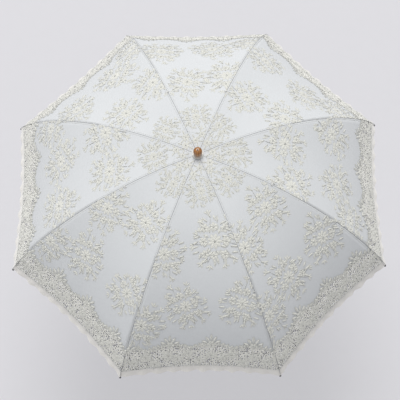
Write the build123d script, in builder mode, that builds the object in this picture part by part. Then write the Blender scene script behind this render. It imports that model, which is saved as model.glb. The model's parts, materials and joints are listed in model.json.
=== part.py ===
from build123d import *
from math import acos, asin, atan2, cos, degrees, hypot, radians, sin, sqrt
import os

# Straight-stick lace parasol, open. Millimetres, +Z up along the shaft, origin at the
# bottom centre of the handle. Eight ribs stand at 22.5 degrees and every 45 after it.

# Canopy frame
rib_count = 8
rim_radius = 475.0          # shaft axis to the end of a rib
joint_radius = 237.5        # shaft axis to the rivet in the middle of a rib
slope_at_crown = -4.0       # degrees below the horizontal along an open rib
slope_at_joint = 24.0
slope_at_tip = 60.0
crown_height = 827.0        # handle's bottom to the ribs' pivots
closed_joint_gap = 9.0      # ring wires to the rivets' circle when it is folded
closed_lean = 5.5           # degrees by which a folded rib end leans outwards

# Ribs and stretchers
rib_width = 3.0
rib_height = 3.0
wall = 0.6
rod_radius = 1.25
rod_tongue = 1.0            # thickness of the flattened end of a rod
eye_radius = 1.4
joint_eye_radius = 1.9
fork_gap = 0.35             # between parts that turn side by side
fork_wall = 0.8
rib_fork = 5.0              # length of a rib's fork, along its line
stretcher_fork = 10.0       # length of the fork's two ears
fork_root = 3.0             # solid behind the stretcher's fork
bar_start = 1.2             # pivot to where a rib's bar starts out of its eye
bar_margin = 0.2            # bars are this much slimmer than their eyes, on each side
tongue_half = 1.1           # half the height of a rod's flattened end
tongue_overlap = 1.5
rib_groove_start = 12.0     # pivot to the groove under a rib
rib_groove_end = 2.0        # groove to the fork
stretcher_groove_start = 8.0
stretcher_groove_end = 22.0
rivet_radius = 0.8
rivet_head = 0.5
rivet_head_radius = 1.7
rivet_play = 0.1            # under a rivet's head
bead_radius = 2.6
bead_bore_depth = 3.0
running_clearance = 0.05    # radial, pins in eyes and the runner on the shaft
crown_eye_gap = 0.15        # radial, rib's eye on the crown's ring wire
seat_gap = 0.02             # radial, pieces glued together

# Shaft, crown and runner
shaft_radius = 5.0
shaft_edge = 0.6
wire_radius = 0.6
notch_gap = 0.35            # beside a rib or stretcher in its notch
notch_depth_gap = 0.5       # between an eye and its notch's floor
sleeve_gap = 0.6            # between the runner's sleeve and the notches' floors
crown_rim = 3.0             # ring wires to the outside of crown and runner
crown_above = 2.2           # crown's top over the pivots
crown_below = 7.0
runner_above = 3.0
runner_flange = 7.0
runner_length = 46.0
runner_wall = 2.95
tenon_radius = 3.0
tenon_height = 13.0         # above the crown's top
runner_edge = 0.8
ring_end_gap = 0.5          # degrees between a notch and the runner's ring wire

# Canopy cloth
cloth_gap = 1.3             # ribs' upper side to the cloth's underside
cloth_thickness = 0.8
cloth_hole_radius = 6.5
cloth_seam_gap = 0.3
rim_hollow = 7.5            # how far a gore's edge curves in between two ribs
rim_short_of_rib = 2.0      # cloth's corner to the end of its rib

# Finial
rosette_radius = 12.5
rosette_thickness = 1.6
rosette_gap = 0.4
rosette_bore_gap = 0.1
rosette_edge = 0.7
finial_radius = 9.9
finial_height = 20.5
finial_widest = 9.84        # foot to the widest place
finial_neck_radius = 6.2
finial_neck_height = 1.2
finial_neck_flare = 0.6
finial_socket_gap = 1.5     # tenon's end to the floor of its hole
finial_hole_radius = 1.6    # the bead is drilled right through

# Handle and collar
handle_length = 200.0
grip_radius = 11.0
grip_length = 92.0
grip_edge = 3.0
grip_shoulder = 3.0         # height of the slope down to the waist
waist_length = 5.0
sleeve_shoulder = 4.0       # height of the slope up from the waist
sleeve_step = 1.0           # sleeve's foot is this much slimmer than the grip
sleeve_taper = 0.02
handle_waist_radius = 8.4
handle_wall = 2.6           # round the socket, under the collar
socket_depth = 60.0
collar_wall = 1.4
collar_step = 0.4           # depth of the seat that the collar stands on
collar_height = 12.0
collar_overlap = 8.0
collar_edge = 1.2

# Spring catches and stop
catch_thickness = 1.4
catch_arm = 24.0
catch_depth = 1.6
catch_nose = 2.4            # how far a nose stands out of the shaft
catch_slope = 6.5           # height of a nose's ramp
catch_land = 1.2
slot_side_gap = 0.35
slot_below_pivot = 4.0
slot_above_catch = 6.0
slot_floor = -1.6           # slot's floor, measured from the shaft axis
catch_pivot_x = 2.4
catch_pivot_radius = 0.7
catch_rest_gap = 0.4        # runner's edge to a nose
window_height = 8.0         # runner's window for the lower catch
window_width = 3.2
window_rise = 10.0          # runner's lower end to the window
stop_radius = 1.0
stop_stand_out = 2.0
stop_gap = 0.5
pin_edge = 0.3
pin_end_gap = 0.3           # pivot pins end below the shaft's surface
overrun = 1.0               # how far cutting shapes run past a surface

# Radii that follow from the stick
runner_radius = shaft_radius + running_clearance + runner_wall
notch_floor = runner_radius + sleeve_gap
hinge_radius = notch_floor + notch_depth_gap + eye_radius
crown_radius = hinge_radius + crown_rim
notch_width = rib_width + 2 * notch_gap
closed_joint_radius = hinge_radius + closed_joint_gap
stop_reach = shaft_radius + stop_stand_out
socket_wall_radius = shaft_radius + handle_wall - collar_step
collar_radius = socket_wall_radius + collar_wall
cloth_rise = rib_height / 2 + cloth_gap

# Rib's two tangent arcs, as lengths in the plane of one rib
s_crown, s_joint, s_tip = (radians(a) for a in (slope_at_crown, slope_at_joint, slope_at_tip))
inner_arc_radius = (joint_radius - hinge_radius) / (sin(s_joint) - sin(s_crown))
outer_arc_radius = (rim_radius - joint_radius) / (sin(s_tip) - sin(s_joint))
joint_height = crown_height - inner_arc_radius * (cos(s_crown) - cos(s_joint))
rim_height = joint_height - outer_arc_radius * (cos(s_joint) - cos(s_tip))

# Fold: rib and stretcher make an isosceles triangle on the shaft
chord = hypot(joint_radius - hinge_radius, crown_height - joint_height)
open_angle = degrees(atan2(crown_height - joint_height, joint_radius - hinge_radius))
closed_angle = degrees(acos((closed_joint_radius - hinge_radius) / chord))
rib_turn = closed_angle - open_angle
outer_chord_slope = degrees(atan2(joint_height - rim_height, rim_radius - joint_radius))
rib_end_turn = outer_chord_slope + rib_turn - (90.0 - closed_lean)
runner_open = crown_height - 2 * chord * sin(radians(open_angle))
runner_closed = crown_height - 2 * chord * sin(radians(closed_angle))
runner_travel = runner_open - runner_closed

runner_top = runner_open + runner_above
runner_bottom = runner_top - runner_length
closed_window = runner_bottom - runner_travel + window_rise
top_catch_low = runner_bottom - catch_rest_gap - catch_arm
bottom_catch_low = closed_window + catch_rest_gap + catch_slope - catch_arm
stop_height = runner_top + stop_gap + stop_radius
crown_top = crown_height + crown_above
cloth_base = crown_height + cloth_rise


def rib_azimuth(number):
    return (number - 0.5) * 360.0 / rib_count


def rib_plane(azimuth):
    """Upright plane through the shaft: local x outwards, local y up."""
    a = radians(azimuth)
    return Plane(origin=(0, 0, 0), x_dir=(cos(a), sin(a), 0), z_dir=(sin(a), -cos(a), 0))


def arc_point(slope, lift=0.0):
    """Point (radius, height) of a rib's line where it has this slope, lifted off it."""
    a = radians(slope)
    if slope <= slope_at_joint:
        radius = hinge_radius + inner_arc_radius * (sin(a) - sin(s_crown))
        height = crown_height - inner_arc_radius * (cos(s_crown) - cos(a))
    else:
        radius = joint_radius + outer_arc_radius * (sin(a) - sin(s_joint))
        height = joint_height - outer_arc_radius * (cos(s_joint) - cos(a))
    return (radius + lift * sin(a), height + lift * cos(a))


def band(first, last, below, above):
    """Closed outline between two slopes of a rib's line, from below it to above it."""
    middle = (first + last) / 2
    with BuildLine() as outline:
        ThreePointArc(*(arc_point(s, above) for s in (first, middle, last)))
        Line(arc_point(last, above), arc_point(last, -below))
        ThreePointArc(*(arc_point(s, -below) for s in (last, middle, first)))
        Line(arc_point(first, -below), arc_point(first, above))
    return outline.edges()


def save(part, name):
    part.label = name
    export_step(part, f"parts/{name}.step")


def make_shaft():
    with BuildPart() as shaft:
        with BuildSketch(Plane.XY.offset(handle_length - socket_depth)):
            Circle(shaft_radius)
        extrude(amount=crown_top - handle_length + socket_depth)
        with BuildSketch(Plane.XY.offset(crown_top)):
            Circle(tenon_radius)
        extrude(amount=tenon_height)
        chamfer(shaft.edges().sort_by(Axis.Z)[-1], shaft_edge)
        chamfer(shaft.edges().sort_by(Axis.Z)[0], shaft_edge)
        slot_length = slot_below_pivot + catch_arm + slot_above_catch
        slot_depth = shaft_radius + overrun - slot_floor
        for low in (top_catch_low, bottom_catch_low):
            slot_middle = low - slot_below_pivot + slot_length / 2
            with BuildSketch(Plane.XZ):
                with Locations((slot_floor + slot_depth / 2, slot_middle)):
                    Rectangle(slot_depth, slot_length)
            extrude(amount=catch_thickness / 2 + slot_side_gap, both=True, mode=Mode.SUBTRACT)
        with BuildSketch(Plane.XZ):
            with Locations((0, stop_height)):
                Circle(stop_radius + seat_gap)
        extrude(amount=shaft_radius + overrun, both=True, mode=Mode.SUBTRACT)
        with BuildSketch(Plane.XZ):
            with Locations(*((catch_pivot_x, low) for low in (top_catch_low, bottom_catch_low))):
                Circle(catch_pivot_radius + seat_gap)
        extrude(amount=shaft_radius + overrun, both=True, mode=Mode.SUBTRACT)
    save(shaft.part, "shaft")


def make_catch(name, low, nose_up):
    """Flat spring in the shaft's slot; the nose's square side faces the runner."""
    top = low + catch_arm
    back = catch_pivot_x - catch_depth / 2
    front = catch_pivot_x + catch_depth / 2
    tip = shaft_radius + catch_nose
    foot = top - catch_slope
    with BuildPart() as catch:
        with BuildSketch(Plane.XZ):
            with BuildLine():
                if nose_up:
                    Polyline((back, low), (front, low), (front, foot), (tip, top - catch_land),
                             (tip, top), (back, top), close=True)
                else:
                    Polyline((back, low), (front, low), (front, foot), (tip, foot),
                             (tip, foot + catch_land), (front, top), (back, top), close=True)
            make_face()
            with Locations((catch_pivot_x, low)):
                Circle(catch_depth)
        extrude(amount=catch_thickness / 2, both=True)
        with BuildSketch(Plane.XZ):
            with Locations((catch_pivot_x, low)):
                Circle(catch_pivot_radius + running_clearance)
        extrude(amount=catch_thickness, both=True, mode=Mode.SUBTRACT)
    save(catch.part, name)


def make_pins():
    """Pins across the shaft: the runner's stop, and one through the foot of each catch."""
    pivots = [(catch_pivot_x, low) for low in (top_catch_low, bottom_catch_low)]
    with BuildPart() as pins:
        with BuildSketch(Plane.XZ):
            with Locations((0, stop_height)):
                Circle(stop_radius)
        extrude(amount=stop_reach, both=True)
        chamfer(pins.edges().group_by(Axis.Y)[0] + pins.edges().group_by(Axis.Y)[-1], pin_edge)
        with BuildSketch(Plane.XZ):
            with Locations(*pivots):
                Circle(catch_pivot_radius)
        extrude(amount=sqrt(shaft_radius ** 2 - catch_pivot_x ** 2) - pin_end_gap, both=True)
    save(pins.part, "shaft_pins")


def make_crown():
    groove = wire_groove(crown_height)
    with BuildPart() as crown:
        with BuildSketch(Plane.XY.offset(crown_height - crown_below)):
            Circle(crown_radius)
            Circle(shaft_radius + seat_gap, mode=Mode.SUBTRACT)
            notches()
        extrude(amount=crown_above + crown_below)
        add(groove, mode=Mode.SUBTRACT)
    save(crown.part, "crown")


def notches():
    length = crown_radius + overrun - notch_floor
    with PolarLocations(notch_floor + length / 2, rib_count, start_angle=rib_azimuth(1)):
        Rectangle(length, notch_width, mode=Mode.SUBTRACT)


def wire_groove(height):
    """Solid of the groove that a ring wire is pressed into."""
    with BuildPart() as groove:
        with BuildSketch(Plane.XZ):
            with Locations(((hinge_radius + crown_radius + overrun) / 2, height)):
                Rectangle(crown_radius + overrun - hinge_radius, 2 * (wire_radius + seat_gap))
            with Locations((hinge_radius, height)):
                Circle(wire_radius + seat_gap)
        revolve(axis=Axis.Z)
    return groove.part


def make_runner():
    flange_base = runner_top - runner_flange
    groove = wire_groove(runner_open)
    with BuildPart() as runner:
        with BuildSketch(Plane.XY.offset(flange_base)):
            Circle(crown_radius)
            Circle(shaft_radius + running_clearance, mode=Mode.SUBTRACT)
            notches()
        extrude(amount=runner_flange)
        with BuildSketch(Plane.XY.offset(runner_bottom)):
            Circle(runner_radius)
            Circle(shaft_radius + running_clearance, mode=Mode.SUBTRACT)
        extrude(amount=runner_length - runner_flange)
        chamfer(runner.faces().sort_by(Axis.Z)[0].edges().sort_by(SortBy.RADIUS)[-1], runner_edge)
        add(groove, mode=Mode.SUBTRACT)
        with BuildSketch(Plane.YZ):
            with Locations((0, runner_bottom + window_rise + window_height / 2)):
                SlotOverall(window_height, window_width, rotation=90)
        extrude(amount=runner_radius + overrun, mode=Mode.SUBTRACT)
    save(runner.part, "runner")


def make_crown_wire():
    with BuildPart() as wire:
        with BuildSketch(Plane.XZ):
            with Locations((hinge_radius, crown_height)):
                Circle(wire_radius)
        revolve(axis=Axis.Z)
    save(wire.part, "crown_wire")


def make_runner_wires():
    """Short lengths of wire, one in each ear of the runner, clear of the notches."""
    half_notch = degrees(asin(notch_width / 2 / hinge_radius)) + ring_end_gap
    reach = 360.0 / rib_count - 2 * half_notch
    with BuildPart() as wires:
        for number in range(1, rib_count + 1):
            with BuildSketch(rib_plane(rib_azimuth(number) + half_notch)):
                with Locations((hinge_radius, runner_open)):
                    Circle(wire_radius)
            revolve(axis=Axis.Z, revolution_arc=reach)
    save(wires.part, "runner_wire")


def make_rib(number):
    """Inner part of a rib: a grooved bar with an eye at the crown and a fork at the rivet."""
    plane = rib_plane(rib_azimuth(number))
    half = rib_height / 2
    start = slope_at_crown + degrees(bar_start / inner_arc_radius)
    fork_start = slope_at_joint - degrees(rib_fork / inner_arc_radius)
    groove_start = slope_at_crown + degrees(rib_groove_start / inner_arc_radius)
    groove_end = fork_start - degrees(rib_groove_end / inner_arc_radius)
    bar = band(start, slope_at_joint, half - bar_margin, half - bar_margin)
    groove = band(groove_start, groove_end, half + overrun, half - bar_margin - wall)
    fork = band(fork_start, slope_at_joint, half + overrun, half + overrun)
    with BuildPart() as rib:
        with BuildSketch(plane):
            make_face(bar)
            with Locations((hinge_radius, crown_height)):
                Circle(eye_radius)
            with Locations((joint_radius, joint_height)):
                Circle(joint_eye_radius)
        extrude(amount=rib_width / 2, both=True)
        with BuildSketch(plane):
            make_face(groove)
            make_face(fork)
            with Locations((joint_radius, joint_height)):
                Circle(joint_eye_radius + overrun)
        extrude(amount=rib_width / 2 - wall, both=True, mode=Mode.SUBTRACT)
        with BuildSketch(plane):
            with Locations((hinge_radius, crown_height)):
                Circle(wire_radius + crown_eye_gap)
            with Locations((joint_radius, joint_height)):
                Circle(rivet_radius + seat_gap)
        extrude(amount=rib_width, both=True, mode=Mode.SUBTRACT)
    save(rib.part, f"rib_{number}")


def make_rib_end(number):
    """Outer part of a rib: a round rod with a flattened eye between the rib's fork."""
    plane = rib_plane(rib_azimuth(number))
    rod_start = slope_at_joint + degrees(rib_fork / outer_arc_radius)
    start = arc_point(rod_start)
    toward = radians(rod_start)
    tangent = (cos(toward), -sin(toward))
    a = radians(rib_azimuth(number))
    section = Plane(origin=(start[0] * cos(a), start[0] * sin(a), start[1]),
                    z_dir=(tangent[0] * cos(a), tangent[0] * sin(a), tangent[1]))
    tongue_end = rod_start + degrees(tongue_overlap / outer_arc_radius)
    tongue = band(slope_at_joint, tongue_end, tongue_half, tongue_half)
    with BuildPart() as rod:
        with BuildLine(plane) as path:
            ThreePointArc(start, arc_point((rod_start + slope_at_tip) / 2), arc_point(slope_at_tip))
        with BuildSketch(section):
            Circle(rod_radius)
        sweep(path=path.line)
        with BuildSketch(plane):
            make_face(tongue)
            with Locations((joint_radius, joint_height)):
                Circle(joint_eye_radius - bar_margin)
        extrude(amount=rod_tongue / 2, both=True)
        with BuildSketch(plane):
            with Locations((joint_radius, joint_height)):
                Circle(rivet_radius + running_clearance)
        extrude(amount=rod_tongue, both=True, mode=Mode.SUBTRACT)
    save(rod.part, f"rib_end_{number}")


def make_bead(number):
    """Turned bead glued on the end of a rib's rod."""
    a = radians(rib_azimuth(number))
    tip = arc_point(slope_at_tip)
    out = (cos(s_tip) * cos(a), cos(s_tip) * sin(a), -sin(s_tip))
    along = Plane(origin=(tip[0] * cos(a), tip[0] * sin(a), tip[1]), z_dir=out)
    with BuildPart() as bead:
        with BuildSketch(Plane(origin=along.origin, x_dir=along.x_dir, z_dir=along.y_dir)):
            with BuildLine():
                CenterArc((0, 0), bead_radius, -90, 180)
                Line((0, bead_radius), (0, -bead_radius))
            make_face()
        revolve(axis=Axis(along.origin, along.z_dir))
        with BuildSketch(along.offset(-bead_bore_depth - overrun)):
            Circle(rod_radius + seat_gap)
        extrude(amount=bead_bore_depth + overrun + seat_gap, mode=Mode.SUBTRACT)
    save(bead.part, f"tip_bead_{number}")


def make_rivet(number):
    length = rib_width / 2 + fork_gap + fork_wall + rivet_play
    plane = rib_plane(rib_azimuth(number))
    with BuildPart() as rivet:
        with BuildSketch(plane):
            with Locations((joint_radius, joint_height)):
                Circle(rivet_radius)
        extrude(amount=length, both=True)
        for side in (-1, 1):
            with BuildSketch(plane.offset(side * length)):
                with Locations((joint_radius, joint_height)):
                    Circle(rivet_head_radius)
            extrude(amount=side * rivet_head)
    save(rivet.part, f"rivet_{number}")


def make_stretcher(number):
    """Straight bar from the runner to the rivet, forked round the rib there."""
    slope = radians(open_angle)
    a = radians(rib_azimuth(number))
    plane = Plane(origin=(joint_radius * cos(a), joint_radius * sin(a), joint_height),
                  x_dir=(-cos(slope) * cos(a), -cos(slope) * sin(a), -sin(slope)),
                  z_dir=(-sin(a), cos(a), 0))
    bar = chord - stretcher_fork
    fork_half = rib_width / 2 + fork_gap + fork_wall
    height = 2 * eye_radius - bar_margin
    groove = bar - stretcher_groove_start - stretcher_groove_end
    with BuildPart() as stretcher:
        with BuildSketch(plane):
            with Locations((stretcher_fork + bar / 2, 0)):
                Rectangle(bar, height)
            with Locations((chord, 0)):
                Circle(eye_radius)
        extrude(amount=rib_width / 2, both=True)
        with BuildSketch(plane):
            with Locations(((stretcher_fork + fork_root) / 2, 0)):
                Rectangle(stretcher_fork + fork_root, height)
            Circle(joint_eye_radius)
        extrude(amount=fork_half, both=True)
        with BuildSketch(plane):
            with Locations((stretcher_fork / 2, 0)):
                Rectangle(stretcher_fork, height + 2 * overrun)
            Circle(joint_eye_radius + overrun)
        extrude(amount=fork_half - fork_wall, both=True, mode=Mode.SUBTRACT)
        with BuildSketch(plane):
            Circle(rivet_radius + running_clearance)
            with Locations((chord, 0)):
                Circle(wire_radius + running_clearance)
        extrude(amount=fork_half + overrun, both=True, mode=Mode.SUBTRACT)
        with BuildSketch(plane):
            with Locations((stretcher_fork + stretcher_groove_start + groove / 2, -eye_radius)):
                Rectangle(groove, 2 * (eye_radius - wall))
        extrude(amount=rib_width / 2 - wall, both=True, mode=Mode.SUBTRACT)
    save(stretcher.part, f"stretcher_{number}")


def make_gore(number):
    """One cloth panel between two ribs, straight from rib to rib."""
    squeeze = cos(radians(180.0 / rib_count))
    middle = rib_azimuth(number) + 180.0 / rib_count
    edge_slope = slope_at_tip - degrees(rim_short_of_rib / outer_arc_radius)

    def gore_point(slope, lift):
        radius, height = arc_point(slope, lift)
        return (radius * squeeze, height)

    inner_slopes = (slope_at_crown, (slope_at_crown + slope_at_joint) / 2, slope_at_joint)
    outer_slopes = (slope_at_joint, (slope_at_joint + edge_slope) / 2, edge_slope)
    top = cloth_rise + cloth_thickness
    outline = gore_outline(middle)
    with BuildPart() as gore:
        with BuildSketch(rib_plane(middle)):
            with BuildLine():
                Line((0, cloth_base), (0, cloth_base + cloth_thickness))
                Line((0, cloth_base + cloth_thickness), gore_point(slope_at_crown, top))
                ThreePointArc(*(gore_point(s, top) for s in inner_slopes))
                ThreePointArc(*(gore_point(s, top) for s in outer_slopes))
                Line(gore_point(edge_slope, top), gore_point(edge_slope, cloth_rise))
                ThreePointArc(*(gore_point(s, cloth_rise) for s in reversed(outer_slopes)))
                ThreePointArc(*(gore_point(s, cloth_rise) for s in reversed(inner_slopes)))
                Line(gore_point(slope_at_crown, cloth_rise), (0, cloth_base))
            make_face()
        extrude(amount=rim_radius, both=True)
        with BuildSketch():
            make_face(outline)
            Circle(cloth_hole_radius, mode=Mode.SUBTRACT)
        extrude(amount=2 * crown_height, mode=Mode.INTERSECT)
    save(gore.part, f"gore_{number}")


def gore_outline(middle):
    """Plan of a gore: a wedge with a hollow outer edge."""
    half = 180.0 / rib_count
    edge_slope = slope_at_tip - degrees(rim_short_of_rib / outer_arc_radius)
    reach = arc_point(edge_slope, cloth_rise + cloth_thickness)[0]
    seam = cloth_seam_gap / 2

    def turned(x, y):
        a = radians(middle)
        return (x * cos(a) - y * sin(a), x * sin(a) + y * cos(a))

    side_x, side_y = reach * cos(radians(half)), reach * sin(radians(half)) - seam
    start_x = seam / sin(radians(half))
    with BuildLine() as outline:
        Line(turned(start_x, 0), turned(side_x, side_y))
        ThreePointArc(turned(side_x, side_y), turned(side_x - rim_hollow, 0), turned(side_x, -side_y))
        Line(turned(side_x, -side_y), turned(start_x, 0))
    return outline.edges()


def make_finial():
    base = cloth_base + cloth_thickness + rosette_gap + rosette_thickness
    with BuildPart() as rosette:
        with BuildSketch(Plane.XY.offset(cloth_base + cloth_thickness + rosette_gap)):
            Circle(rosette_radius)
            Circle(tenon_radius + rosette_bore_gap, mode=Mode.SUBTRACT)
        extrude(amount=rosette_thickness)
        fillet(rosette.edges().group_by(Axis.Z)[-1].sort_by(SortBy.RADIUS)[-1], rosette_edge)
    save(rosette.part, "finial_rosette")
    neck = base + finial_neck_height
    top = base + finial_height
    widest = base + finial_widest
    with BuildPart() as finial:
        with BuildSketch(Plane.XZ):
            with BuildLine():
                Line((0, base), (finial_neck_radius, base))
                Line((finial_neck_radius, base), (finial_neck_radius, neck))
                Spline((finial_neck_radius, neck), (finial_radius, widest), (0, top),
                       tangents=((1, finial_neck_flare), (-1, 0)))
                Line((0, top), (0, base))
            make_face()
        revolve(axis=Axis.Z)
        with BuildSketch(Plane.XY.offset(base - overrun)):
            Circle(tenon_radius + seat_gap)
        extrude(amount=crown_top + tenon_height + finial_socket_gap - base + overrun, mode=Mode.SUBTRACT)
        with BuildSketch(Plane.XY.offset(base)):
            Circle(finial_hole_radius)
        extrude(amount=finial_height + overrun, mode=Mode.SUBTRACT)
    save(finial.part, "finial")


def make_handle():
    seat = handle_length - collar_overlap
    waist = grip_length + grip_shoulder
    waist_top = waist + waist_length
    sleeve = waist_top + sleeve_shoulder
    sleeve_radius = grip_radius - sleeve_step
    seat_radius = socket_wall_radius + 2 * collar_step
    with BuildPart() as handle:
        with BuildSketch(Plane.XZ):
            with BuildLine():
                Line((0, 0), (grip_radius, 0))
                Line((grip_radius, 0), (grip_radius, grip_length))
                Line((grip_radius, grip_length), (handle_waist_radius, waist))
                Line((handle_waist_radius, waist), (handle_waist_radius, waist_top))
                Line((handle_waist_radius, waist_top), (sleeve_radius, sleeve))
                Spline((sleeve_radius, sleeve), (seat_radius, seat),
                       tangents=((0, 1), (-sleeve_taper, 1)))
                Line((seat_radius, seat), (socket_wall_radius, seat))
                Line((socket_wall_radius, seat), (socket_wall_radius, handle_length))
                Line((socket_wall_radius, handle_length), (0, handle_length))
                Line((0, handle_length), (0, 0))
            make_face()
        revolve(axis=Axis.Z)
        fillet(handle.edges().sort_by(Axis.Z)[0], grip_edge)
        with BuildSketch(Plane.XY.offset(handle_length - socket_depth)):
            Circle(shaft_radius + seat_gap)
        extrude(amount=socket_depth + overrun, mode=Mode.SUBTRACT)
    save(handle.part, "handle")
    with BuildPart() as collar:
        with BuildSketch(Plane.XY.offset(seat + seat_gap)):
            Circle(collar_radius)
        extrude(amount=collar_height)
        with BuildSketch(Plane.XY.offset(seat)):
            Circle(socket_wall_radius + seat_gap)
        extrude(amount=collar_overlap + 2 * seat_gap, mode=Mode.SUBTRACT)
        with BuildSketch(Plane.XY.offset(seat)):
            Circle(shaft_radius + seat_gap)
        extrude(amount=collar_height + overrun, mode=Mode.SUBTRACT)
        fillet(collar.edges().group_by(Axis.Z)[-1].sort_by(SortBy.RADIUS)[-1], collar_edge)
    save(collar.part, "collar")


os.makedirs("parts", exist_ok=True)
make_shaft()
make_pins()
make_catch("top_catch", top_catch_low, True)
make_catch("bottom_catch", bottom_catch_low, False)
make_crown()
make_crown_wire()
make_runner()
make_runner_wires()
make_handle()
make_finial()
for number in range(1, rib_count + 1):
    make_rib(number)
    make_rib_end(number)
    make_rivet(number)
    make_stretcher(number)
    make_gore(number)
for number in range(1, rib_count + 1):
    make_bead(number)
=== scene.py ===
import json
import math
import random

import bmesh
import bpy
import numpy as np
from mathutils import Matrix, Vector


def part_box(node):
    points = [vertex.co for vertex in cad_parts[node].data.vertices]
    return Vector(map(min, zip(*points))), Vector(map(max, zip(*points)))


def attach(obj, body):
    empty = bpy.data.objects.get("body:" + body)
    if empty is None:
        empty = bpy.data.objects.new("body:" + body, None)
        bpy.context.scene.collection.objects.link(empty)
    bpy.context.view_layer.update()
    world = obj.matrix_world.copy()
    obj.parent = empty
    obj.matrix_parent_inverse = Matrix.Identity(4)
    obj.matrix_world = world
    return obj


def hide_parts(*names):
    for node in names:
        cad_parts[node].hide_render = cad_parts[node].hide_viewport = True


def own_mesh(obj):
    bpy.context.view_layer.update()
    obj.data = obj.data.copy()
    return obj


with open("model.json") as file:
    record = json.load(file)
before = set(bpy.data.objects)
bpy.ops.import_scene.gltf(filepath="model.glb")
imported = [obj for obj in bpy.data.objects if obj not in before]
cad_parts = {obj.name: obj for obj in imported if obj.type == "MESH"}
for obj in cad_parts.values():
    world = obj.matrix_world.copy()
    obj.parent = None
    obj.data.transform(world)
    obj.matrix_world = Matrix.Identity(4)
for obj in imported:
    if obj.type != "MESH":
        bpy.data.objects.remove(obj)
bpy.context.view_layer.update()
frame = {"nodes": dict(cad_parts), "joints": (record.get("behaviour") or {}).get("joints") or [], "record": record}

# Sizes, in metres. A gore is drawn flat first: x across it from its middle line, y down
# it from the shaft, height off the cloth. lay() then bends it over the open ribs.
RIBS = 8
HALF = math.pi / RIBS
RIM_RADIUS = 0.475
BEAD_RADIUS = 0.0026
RIVET_SLOPE = math.radians(24)      # a rib's slope at its rivet
RIB_TO_CLOTH = 0.0022
SAG = 0.0055                        # how far the cloth hangs in between two ribs
APEX_HOLE = 0.0055
EDGE_HOLLOW = 0.013                 # gore's edge between two rib tips
CORNER_SHORT = 0.004                # cloth's corner to the bead's middle
EDGING = 0.0185                     # plain woven band along the edge
EDGE_WAVE = 0.0015
WAVE_LENGTH = 0.034
BAND_LOW = 0.066                    # lace border at its narrowest
BAND_RISE = 0.016
SCALLOP = 0.104
NET_CELL = 0.0046
NET_THREAD = 0.0017
NET_PULL = 0.0005
EYELET_STEP = 0.0108                # spacing of the worked eyelets over the net
CUT_OVERLAP = 0.007                 # inner cloth under the outer at the rivets
FLOWER_STEP = 0.0262                # flowers of the border along the edge
FLOWER_ROWS = (0.014, 0.033, 0.020, 0.036)
PICOT_STEP = 0.0072
PETAL_RISE = 0.0009
TUCK = 0.00015                      # how far a neighbour's edge is tucked under
PATCH_RADIUS = 0.106                # round of lining under the cloth at the top
PATCH_STITCHING = 0.055
SPRAY_SIZE = 0.97
SPRAY_STRETCH = (0.88, 1.14)        # sprays are longer down the gore than across
# Embroidered sprays of one cut gore: across and down in metres, turn in degrees, share of full size
SPRAYS = ((0.030, 0.195, 10, 1.0), (-0.070, 0.217, 165, 1.0), (-0.033, 0.342, -15, 1.0),
          (0.086, 0.336, 20, 1.0), (-0.120, 0.380, 190, 1.0), (0.008, 0.090, 80, 0.68))
SPRIGS = ((-0.010, 0.047), (0.004, 0.033))

uniform = random.Random(7).uniform
joints = {j["name"]: j for j in frame["joints"]}


def azimuth(number):
    """Direction of a rib."""
    return (2 * number - 1) * HALF


def middle_of(gore):
    """Direction of a gore's middle line, half a step on from its rib."""
    return azimuth(gore) + HALF


# ---------------------------- camera and stage

def add_camera():
    """Looks down on the open canopy, its distance and place in rim radii."""
    away, aside, below = 5.06, 0.008, 0.0225
    tilt, roll = math.radians(20.4), -0.0105
    rim = Vector((0, 0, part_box("tip_bead_1")[0].z + BEAD_RADIUS))
    up = Vector((0, math.cos(tilt), math.sin(tilt)))
    back = Vector((0, -math.sin(tilt), math.cos(tilt)))
    data = bpy.data.cameras.new("camera")
    data.sensor_width = 36
    data.lens = 89.2
    data.clip_end = 20
    camera = link("camera", data)
    place = rim + RIM_RADIUS * (away * back + aside * Vector((1, 0, 0)) - below * up)
    turn = Matrix.Rotation(tilt, 4, "X") @ Matrix.Rotation(roll, 4, "Z")
    camera.matrix_world = Matrix.Translation(place) @ turn
    bpy.context.scene.camera = camera


# ---------------------------- node helpers

def node(tree, kind, values=None, links=None, **settings):
    """Adds a node, sets its sockets by name or index, and links others into it."""
    new = tree.nodes.new(kind)
    for name, value in settings.items():
        setattr(new, name, value)
    for name, value in (values or {}).items():
        new.inputs[name].default_value = value
    for name, source in (links or {}).items():
        tree.links.new(source, new.inputs[name])
    return new


def maths(tree, operation, *terms):
    new = tree.nodes.new("ShaderNodeMath")
    new.operation = operation
    for slot, term in zip(new.inputs, terms):
        if isinstance(term, (int, float)):
            slot.default_value = term
        else:
            tree.links.new(term, slot)
    return new.outputs[0]


def times(tree, first, second):
    return maths(tree, "MULTIPLY", first, second)


def plus(tree, first, second):
    return maths(tree, "ADD", first, second)


def ripple(tree, value):
    """Round ridges side by side along a value."""
    return maths(tree, "ABSOLUTE", maths(tree, "SINE", value))


def noise(tree, place, scale, detail=2.0):
    return node(tree, "ShaderNodeTexNoise", {"Scale": scale, "Detail": detail}, {"Vector": place}).outputs[0]


def split(tree, vector):
    """The x, y and z of a vector."""
    return node(tree, "ShaderNodeSeparateXYZ", links={0: vector}).outputs


def scaled(tree, vector, factors):
    return node(tree, "ShaderNodeVectorMath", {1: factors}, {0: vector}, operation="MULTIPLY").outputs[0]


def mix_colour(tree, share, first, second):
    new = tree.nodes.new("ShaderNodeMix")
    new.data_type = "RGBA"
    for slot, term in zip((new.inputs[0], new.inputs[6], new.inputs[7]), (share, first, second)):
        if isinstance(term, tuple):
            slot.default_value = (*term, 1)
        elif isinstance(term, (int, float)):
            slot.default_value = term
        else:
            tree.links.new(term, slot)
    return new.outputs[2]


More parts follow.
